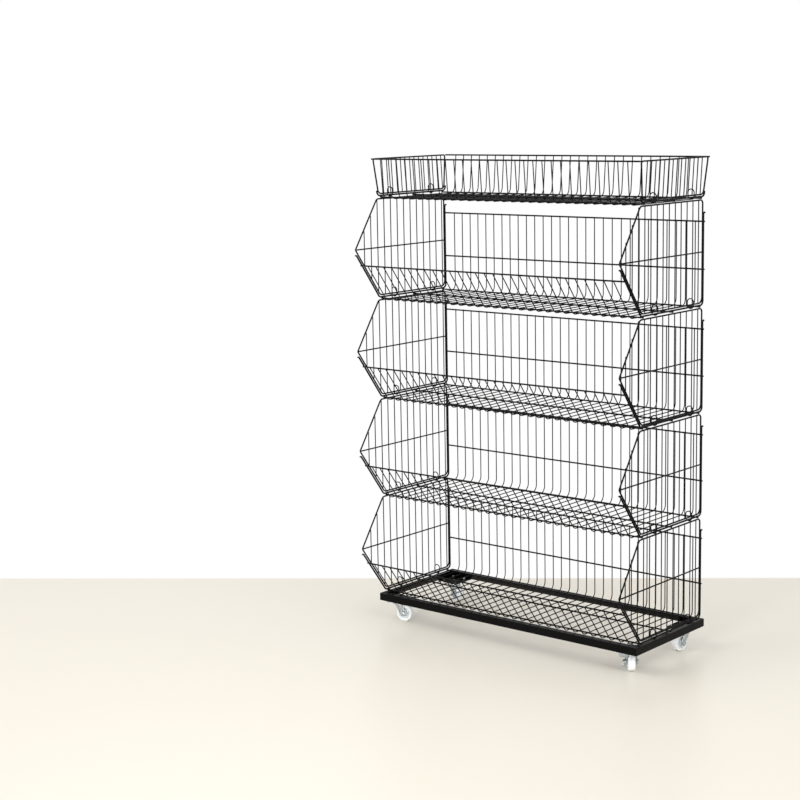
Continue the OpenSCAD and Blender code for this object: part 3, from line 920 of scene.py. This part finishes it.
class Baskets:
    """The four baskets and the tray, stacked on the base."""

    TIERS = 4
    DEPTH = 0.308
    PITCH = 0.0295
    FENCE = Wall(math.radians(37), (0.100,), 0.130)
    BACK = Wall(0.0, (0.096, 0.226), 0.251)
    NOSE_HEIGHT = 0.144
    SIDE_RISE = 0.279
    SIDE_TOP = 0.307
    SIDE_BENDS = (0.016, 0.016, 0.010, 0.014, 0.005)
    LOOP_SLOTS = (2, 8)
    SEED = 65

    TRAY_DEPTH = 0.312
    TRAY_PITCH = 0.0208
    TRAY_LEAN = math.radians(3.5)
    WALL_LEAN = math.radians(5)
    RIM = 0.106
    TRAY_BENDS = (0.014, 0.014, 0.006, 0.006)
    TRAY_SLOTS = (3, 12)
    TRAY_SEED = 133

    PANEL_GAP = 0.0009
    REST_GAP = 0.0003
    FOOT_GAP = 0.0003

    def __init__(self, palette: Palette) -> None:
        """Works out the places that the tiers share."""
        self.palette, self.sizes = palette, BasketSizes()
        gauge = self.sizes.gauge
        self.top_z = self.sizes.inset + self.SIDE_RISE
        self.pitch = self.top_z + gauge.frame / 2 + self.REST_GAP + gauge.rail / 2 + gauge.rail_out

    def inner(self, depth: float, lean: float, z: float) -> float:
        """Returns the depth of a side panel's edge inside a wall, at a height."""
        share = math.tan((math.pi / 2 - lean) / 2)
        return depth / 2 - self.sizes.inset * share + (z - self.sizes.inset) * math.tan(lean)

    def middle_rail(self, rear: float, pitch: float) -> float:
        """Returns the depth of a floor's middle rail, midway between two uprights of the sides."""
        return rear - round(rear / pitch) * pitch

    def basket_side(self, name: str) -> SidePanel:
        """Lays out a basket's side panel."""
        inset, lean, nose_h = self.sizes.inset, self.FENCE.lean, self.NOSE_HEIGHT
        heel = self.inner(self.DEPTH, 0.0, inset)
        foot, nose = -self.inner(self.DEPTH, lean, inset), -self.inner(self.DEPTH, lean, nose_h)
        brow = heel - self.SIDE_TOP
        flat = [(foot, inset), (heel, inset), (heel, self.top_z), (brow, self.top_z), (nose, nose_h)]
        corners = [Vector((0, y, z)) for y, z in flat]
        uprights = []
        for i in range(int((heel - nose) / self.PITCH)):
            y = heel - (i + 0.5) * self.PITCH
            low = max(inset, nose_h + (y - nose) * (inset - nose_h) / (foot - nose))
            high = min(self.top_z, nose_h + (y - nose) * (self.top_z - nose_h) / (brow - nose))
            uprights.append((y, low, high))
        middle = (nose + self.sizes.gauge.middle / 2, heel, nose_h)
        return SidePanel(name, corners, self.SIDE_BENDS, uprights, 0.0, middle, self.sizes, self.palette)

    def tray_side(self, name: str) -> SidePanel:
        """Lays out one of the tray's side panels."""
        gauge, inset, rim, lean = self.sizes.gauge, self.sizes.inset, self.RIM, self.WALL_LEAN
        heel = self.inner(self.TRAY_DEPTH, lean, inset) - self.FOOT_GAP
        rail = self.TRAY_DEPTH / 2 + rim * math.tan(lean) + gauge.rail_out * math.cos(lean)
        crown = rail - gauge.rail / 2 - gauge.frame / 2 - self.PANEL_GAP
        flat = [(-heel, inset), (heel, inset), (crown, rim), (-crown, rim)]
        corners = [Vector((0, y, z)) for y, z in flat]
        count = int(2 * heel / self.TRAY_PITCH)
        uprights = [(heel - (i + 0.5) * self.TRAY_PITCH, inset, rim) for i in range(count)]
        return SidePanel(name, corners, self.TRAY_BENDS, uprights, self.TRAY_LEAN, (), self.sizes,
                         self.palette)

    def add_tier(self, level: int, trough: Trough, loops: tuple, lay_out: object) -> None:
        """Makes a basket or the tray at its height and lets its pieces ride.

        Args:
            level: number of tiers below it.
            trough: its floor and walls.
            loops: panel's back corner, pitch and slots.
            lay_out: method that lays out a side panel.
        """
        name = trough.name
        front = "front" if name == "tray" else "fence"
        nodes = [f"{name}_{part}" for part in ("floor", "back", front)]
        welded = (trough.make_mesh(), trough.make_rails(), trough.make_rods(), trough.make_welds())
        made = [(piece, name, nodes) for piece in welded]
        made.append((trough.make_loops(*loops), name, [f"{name}_hinge_loops"]))
        for side, word in ((-1, "left"), (1, "right")):
            panel = lay_out(f"{name}_{word}_side_frame").make(side)
            made.append((panel, f"{name}_{word}_panel", [f"{name}_{word}_side"]))
        place = Matrix.Translation((0, BASKETS_Y, FIRST_FLOOR + level * self.pitch))
        for piece, body, replaced in made:
            piece.data.transform(place)
            install(piece, body, replaced)

    def build(self) -> None:
        """Makes every basket and the tray."""
        sizes, inset = self.sizes, self.sizes.inset
        rear = self.inner(self.DEPTH, 0.0, inset)
        middle = self.middle_rail(rear, self.PITCH)
        for level in range(self.TIERS):
            trough = Trough(f"basket_{level + 1}", self.DEPTH, self.FENCE, self.BACK, middle,
                            sizes.rail_reach, self.SEED + level, sizes, self.palette)
            self.add_tier(level, trough, (rear, self.PITCH, self.LOOP_SLOTS), self.basket_side)
        front, back = (Wall(self.WALL_LEAN, (self.RIM,)) for _ in range(2))
        rear = self.inner(self.TRAY_DEPTH, self.WALL_LEAN, inset) - self.FOOT_GAP
        middle = self.middle_rail(rear, self.TRAY_PITCH)
        reach = sizes.rail_reach + (self.RIM - inset) * math.sin(self.TRAY_LEAN)
        trough = Trough("tray", self.TRAY_DEPTH, front, back, middle, reach, self.TRAY_SEED, sizes,
                        self.palette)
        self.add_tier(self.TIERS, trough, (rear, self.TRAY_PITCH, self.TRAY_SLOTS), self.tray_side)


# Base


@dataclass
class Base:
    """Mitred angle-iron frame with a plate in each corner."""

    palette: Palette
    width: float = 0.908
    depth: float = 0.346
    leg: float = 0.017
    rise: float = 0.0225
    wall: float = 0.003
    root: float = 0.0028
    heel: float = 0.0016
    toe: float = 0.0011
    edge: float = 0.0003
    bottom: float = 0.064
    plate: float = 0.074
    plate_t: float = 0.003
    plate_corner: float = 0.004
    inset: float = 0.040
    spacing: float = 0.044
    rivet_hole: float = 0.008
    bolt_hole: float = 0.0033

    def angle_bar(self, name: str, length: float, turn: float, out: float) -> Object:
        """Makes one mitred bar.

        Args:
            name: its name.
            length: length over its outer face.
            turn: how far round the frame it stands.
            out: distance of its outer face from the middle.

        Returns:
            The object.
        """
        piece = Workpiece(name, self.palette.coat)
        bm, top = piece.bm, self.bottom + self.rise
        flat = [(0, self.bottom), (self.wall, self.bottom), (self.wall, top - self.wall),
                (self.leg, top - self.wall), (self.leg, top), (0, top)]
        verts = [bm.verts.new((-length / 2, y, z)) for y, z in flat]
        bmesh.ops.contextual_create(bm, geom=verts)
        for i, offset in ((2, self.root), (5, self.heel), (1, self.toe), (3, self.toe)):
            round_off(bm, [verts[i]], offset, 4)
        draw_up(bm, Vector((length, 0, 0)))
        for side in (-1, 1):
            cut = bmesh.ops.bisect_plane(
                bm, geom=bm.verts[:] + bm.edges[:] + bm.faces[:], plane_co=(side * length / 2, 0, 0),
                plane_no=(side, 1, 0), clear_outer=True,
            )["geom_cut"]
            bmesh.ops.edgeloop_fill(bm, edges=[g for g in cut if isinstance(g, BMEdge)])
        soften(bm, self.edge, 30)
        place = Matrix.Translation((0, BASE_Y, 0)) @ Matrix.Rotation(turn, 4, "Z")
        return piece.finish(place @ Matrix.Translation((0, -out, 0)), 50)

    def corner_plate(self, piece: Workpiece, x: int, y: int) -> None:
        """Adds one corner plate with its holes to a piece.

        Args:
            piece: the piece.
            x: side along the rack, -1 or 1.
            y: side in depth, -1 or 1.
        """
        half, made = self.plate / 2, bmesh.new()
        signs = ((-1, -1), (1, -1), (1, 1), (-1, 1))
        square = [made.verts.new((sx * half, sy * half, 0)) for sx, sy in signs]
        for i in range(4):
            made.edges.new((square[i], square[(i + 1) % 4]))
        round_off(made, square, self.plate_corner, 5)
        shift = self.wall + half - self.inset
        pivot = Vector((x * shift, y * shift, 0))
        holes = [(pivot, self.rivet_hole, 40)]
        for bx, by in CORNERS:
            holes.append((pivot + Vector((bx, by, 0)) * self.spacing / 2, self.bolt_hole, 24))
        for centre, radius, sides in holes:
            bmesh.ops.create_circle(made, segments=sides, radius=radius, matrix=Matrix.Translation(centre))
        fill_outline(made)
        draw_up(made, Vector((0, 0, self.plate_t)))
        soften(made, self.edge)
        reach_x = self.width / 2 - self.wall - half
        reach_y = self.depth / 2 - self.wall - half
        made.transform(Matrix.Translation((x * reach_x, BASE_Y + y * reach_y, self.bottom)))
        join(piece.bm, made)

    def build(self) -> None:
        """Makes the frame and its plates."""
        quarter = math.pi / 2
        bars = (
            ("front", self.width, 0.0, self.depth / 2),
            ("rear", self.width, 2 * quarter, self.depth / 2),
            ("left", self.depth, -quarter, self.width / 2),
            ("right", self.depth, quarter, self.width / 2),
        )
        for word, length, turn, out in bars:
            bar = self.angle_bar(f"base_{word}_bar", length, turn, out)
            install(bar, "base", [f"base_{word}_angle"])
        plates = Workpiece("base_corner_plates", self.palette.coat)
        for x, y in CORNERS:
            self.corner_plate(plates, x, y)
        install(plates.finish(Matrix(), 50), "base", ["corner_plates"])


# Casters


@dataclass(frozen=True)
class CasterPlace:
    """Where a caster stands, how it points, and the side of its brake, 0 for none."""

    name: str
    x: int
    y: int
    swivel: float
    brake: int


@dataclass
class Caster:
    """A swivel caster with a nylon wheel."""

    place: CasterPlace
    base: Base
    palette: Palette
    trail: float = 0.020
    wheel_r: float = 0.025

    @property
    def pivot(self) -> Matrix:
        """Place of the swivel axis on the floor."""
        x = self.place.x * (self.base.width / 2 - self.base.inset)
        y = BASE_Y + self.place.y * (self.base.depth / 2 - self.base.inset)
        return Matrix.Translation((x, y, 0))

    @property
    def axle(self) -> Matrix:
        """Place of the axle under the swivelled fork, with Z along it."""
        fork = self.pivot @ Matrix.Rotation(math.radians(self.place.swivel), 4, "Z")
        centre = Matrix.Translation((self.trail, 0, self.wheel_r))
        return fork @ centre @ Matrix.Rotation(-math.pi / 2, 4, "X")

    def pressed(self, name: str, node: str, body: str, rounding: float) -> None:
        """Makes a pressed part from the frame's own solid, with its edges rounded.

        Args:
            name: name of the new piece.
            node: node that it is copied from.
            body: body that it rides on.
            rounding: radius of its edges.
        """
        piece = Workpiece(name, self.palette.zinc)
        piece.bm.from_mesh(frame["nodes"][node].data)
        bmesh.ops.remove_doubles(piece.bm, verts=piece.bm.verts, dist=1e-6)
        bmesh.ops.dissolve_limit(piece.bm, angle_limit=math.radians(1), verts=piece.bm.verts,
                                 edges=piece.bm.edges)
        soften(piece.bm, rounding, 35)
        install(piece.finish(Matrix(), 35), body, [node])

    def make_wheel(self) -> None:
        """Makes the wheel: tread, recessed web and hub."""
        name = self.place.name
        piece = Workpiece(f"{name}_nylon_wheel", self.palette.nylon, self.palette.hub)
        r, half, hub_r, hub_half, bore = self.wheel_r, 0.010, 0.009, 0.012, 0.0041
        rim, web, lip, chamfer, softening, margin = r - 0.008, 0.004, 0.0006, 0.001, 0.00035, 0.0002
        side_round, tread_round, between = 0.0030, 0.0034, 0.0011
        lower = [
            (bore, -hub_half), (hub_r - chamfer, -hub_half), (hub_r, -hub_half + chamfer), (hub_r, -web),
            (rim, -web), (rim, -half + lip), (rim + lip, -half), (r - side_round, -half),
            (r - between, -half + between), (r, -half + tread_round),
        ]
        turned(piece.bm, lower + [(radius, -z) for radius, z in reversed(lower)], 56, softening)
        # faces inside the rim, in the recess, take the painted recess shade
        for face in piece.bm.faces:
            centre = face.calc_center_median()
            face.material_index = 1 if math.hypot(centre.x, centre.y) < rim - margin else 0
        wheel = piece.finish(self.axle, 48)
        install(wheel, f"{name}_wheel", [f"{name}_caster_wheel"])

    def make_axle(self) -> None:
        """Makes the axle bolt and its nut, which holds the brake's lever too where there is one."""
        name, brake = self.place.name, self.place.brake
        piece = Workpiece(f"{name}_axle_bolt", self.palette.zinc)
        across, thick, bore, fork_out, lever = 0.013, 0.005, 0.0041, 0.0145, 0.0026
        smooth, crest, root, pitch, tip = 0.0039, 0.0040, 0.0036, 0.0009, 0.0030
        sunk, before, past, chamfer = 0.0002, 0.001, 0.0015, 0.0004
        nut = fork_out + (lever if brake else 0.0)
        head, low, end = -fork_out - thick, -fork_out - sunk, nut + thick + past
        outline = [(0, low), (smooth, low), *thread(nut - before, pitch, crest, root)]
        outline += [(tip + chamfer, end - chamfer), (tip, end), (0, end)]
        shank = bmesh.new()
        turned(shank, outline, 32)
        flip = Matrix.Rotation(math.pi, 4, "X") if brake != 1 else Matrix()
        parts = ((hex_solid(across, thick), head), (shank, 0.0), (hex_solid(across, thick, bore), nut))
        for part, z in parts:
            part.transform(flip @ Matrix.Translation((0, 0, z)))
            join(piece.bm, part)
        install(piece.finish(self.axle, 32), f"{name}_swivel", [f"{name}_caster_axle"])

    def build(self) -> None:
        """Makes the caster's own pieces."""
        name = self.place.name
        self.pressed(f"{name}_top_plate", f"{name}_caster_plate", "base", 0.0003)
        self.pressed(f"{name}_pressed_fork", f"{name}_caster_fork", f"{name}_swivel", 0.00035)
        self.make_wheel()
        self.make_axle()
        if self.place.brake:
            self.pressed(f"{name}_foot_brake", f"{name}_brake_lever", f"{name}_brake", 0.0004)


@dataclass
class CasterHardware:
    """Bolts, nuts, rivets and balls, which the four casters share."""

    casters: list
    base: Base
    palette: Palette
    across: float = 0.010
    head: float = 0.004
    sunk: float = 0.0002
    bolt_low: float = 0.055
    nut_low: float = 0.0565
    nut_height: float = 0.005
    nut_bore: float = 0.00305
    rivet_low: float = 0.0502
    balls: int = 10
    ball_r: float = 0.0018
    race_r: float = 0.0125
    race_z: float = 0.05695

    def add_all(self, name: str, node: str, maker: object, places: list) -> None:
        """Makes one piece of the same part at several places on each caster.

        Args:
            name: name of the piece.
            node: node that it stands for.
            maker: function that returns a new mesh of the part.
            places: places from the swivel axis.
        """
        piece = Workpiece(name, self.palette.zinc)
        for caster in self.casters:
            for place in places:
                part = maker()
                part.transform(caster.pivot @ place)
                join(piece.bm, part)
        install(piece.finish(Matrix(), 35), "base", [node])

    def bolt(self) -> BMesh:
        """Returns a plate bolt, with its head up and its end at its lowest."""
        seat = self.base.bottom + self.base.plate_t
        bm = hex_solid(self.across, self.head)
        bm.transform(Matrix.Translation((0, 0, seat)))
        low, high = self.bolt_low, seat + self.sunk
        crest, root, tip, pitch, chamfer = 0.0030, 0.0027, 0.0023, 0.0008, 0.0003
        turns = thread(low + chamfer + pitch / 2, pitch, crest, root)
        outline = [(0, low), (tip, low), (tip + chamfer, low + chamfer), *turns]
        outline += [(crest, turns[-1][1] + chamfer), (crest, high), (0, high)]
        turned(bm, outline, 24)
        return bm

    def nut(self) -> BMesh:
        """Returns a plate nut."""
        bm = hex_solid(self.across, self.nut_height, self.nut_bore)
        bm.transform(Matrix.Translation((0, 0, self.nut_low)))
        return bm

    def rivet(self) -> BMesh:
        """Returns the swivel rivet with its two domed heads."""
        dome = ((0, 0), (0.0035, 0.0002), (0.0058, 0.0009), (0.0067, 0.0020), (0.0040, 0.0020))
        top = self.base.bottom + dome[-1][1]
        outline = [(r, self.rivet_low + z) for r, z in dome]
        outline += [(r, top - z) for r, z in reversed(dome)]
        bm = bmesh.new()
        turned(bm, outline, 36)
        return bm

    def ball(self) -> BMesh:
        """Returns one ball of the race."""
        bm = bmesh.new()
        bmesh.ops.create_uvsphere(bm, u_segments=16, v_segments=10, radius=self.ball_r)
        return bm

    def build(self) -> None:
        """Makes the shared hardware."""
        half = self.base.spacing / 2
        corners = [Matrix.Translation((x * half, y * half, 0)) for x, y in CORNERS]
        first = Matrix.Translation((self.race_r, 0, self.race_z))
        ring = [Matrix.Rotation(i * 2 * math.pi / self.balls, 4, "Z") @ first for i in range(self.balls)]
        self.add_all("plate_bolts", "caster_bolts", self.bolt, corners)
        self.add_all("plate_nuts", "caster_nuts", self.nut, corners)
        self.add_all("domed_swivel_rivets", "swivel_rivets", self.rivet, [Matrix()])
        self.add_all("race_balls", "swivel_balls", self.ball, ring)


# Studio


@dataclass(frozen=True)
class PhotoCamera:
    """Camera of the photograph, for a square picture."""

    place: tuple = (2.94568, -3.98678, 1.5418)
    yaw: float = 0.7094
    pitch: float = -0.1680
    roll: float = -0.0195
    focal: float = 79.68

    def build(self) -> None:
        """Makes the camera and gives it to the scene."""
        level = Vector((math.cos(self.yaw), math.sin(self.yaw), 0))
        ahead = Z_AXIS.cross(level) * math.cos(self.pitch) + Z_AXIS * math.sin(self.pitch)
        above = level.cross(ahead)
        right = level * math.cos(self.roll) + above * math.sin(self.roll)
        up = above * math.cos(self.roll) - level * math.sin(self.roll)
        data = bpy.data.cameras.new("photo_camera")
        data.sensor_width, data.lens = 36.0, self.focal
        camera = link_object("photo_camera", data)
        turn = Matrix((right, up, -ahead)).transposed().to_4x4()
        camera.matrix_world = Matrix.Translation(self.place) @ turn
        bpy.context.scene.camera = camera


@dataclass(frozen=True)
class Lamp:
    """A soft square lamp: its place, side, power in watts and the angle that it fans out over."""

    name: str
    place: tuple
    size: float
    power: float
    spread: float = 180

    def hang(self, target: Vector) -> None:
        """Hangs the lamp so that it looks at a target."""
        data = bpy.data.lights.new(self.name, "AREA")
        data.size, data.energy, data.spread = self.size, self.power, math.radians(self.spread)
        lamp = link_object(self.name, data)
        lamp.location = self.place
        lamp.rotation_euler = (target - Vector(self.place)).to_track_quat("-Z", "Y").to_euler()


@dataclass(frozen=True)
class Studio:
    """Pale floor, white surroundings and soft lamps that look at the rack's middle."""

    floor_half: float = 14
    world_light: float = 0.82
    middle: tuple = (0, 0, 0.6)
    lamps: tuple = (
        Lamp("key_lamp", (-1.6, -2.6, 3.6), 2.2, 66),
        Lamp("fill_lamp", (3.2, -1.0, 2.6), 2.0, 45),
        Lamp("low_lamp", (0.9, -3.6, 1.0), 0.8, 9, 70),
    )

    def floor(self) -> None:
        """Lays the floor."""
        bm = bmesh.new()
        bmesh.ops.create_grid(bm, x_segments=2, y_segments=2, size=self.floor_half)
        mesh = bpy.data.meshes.new("floor")
        bm.to_mesh(mesh)
        bm.free()
        mesh.materials.append(PaleFloor().build())
        link_object("floor", mesh)

    def world(self) -> None:
        """Makes the surroundings white to the camera and in reflections, and softer as light."""
        world = bpy.data.worlds.new("studio")
        bpy.context.scene.world = world
        world.use_nodes = True
        tree = world.node_tree
        soft = tree.nodes["Background"]
        soft.inputs["Color"].default_value = WHITE
        soft.inputs["Strength"].default_value = self.world_light
        white = add_node(tree, "Background", {"Color": WHITE, "Strength": 1.0})["Background"]
        swap_surface(tree, seen_rays(tree), soft.outputs["Background"], white, "World Output")

    def build(self) -> None:
        """Sets the whole studio."""
        self.floor()
        self.world()
        for lamp in self.lamps:
            lamp.hang(Vector(self.middle))
        bpy.context.scene.view_settings.view_transform = "Standard"


CASTER_PLACES = (
    CasterPlace("front_left", -1, -1, 17, 1),
    CasterPlace("front_right", 1, -1, 129, 1),
    CasterPlace("rear_left", -1, 1, -25, 0),
    CasterPlace("rear_right", 1, 1, 263, 0),
)


def main() -> None:
    """Builds the rack, the studio and the camera."""
    palette = Palette()
    Baskets(palette).build()
    base = Base(palette)
    base.build()
    casters = [Caster(place, base, palette) for place in CASTER_PLACES]
    for caster in casters:
        caster.build()
    CasterHardware(casters, base, palette).build()
    Studio().build()
    PhotoCamera().build()
    bpy.context.view_layer.update()


if __name__ == "__main__":
    main()
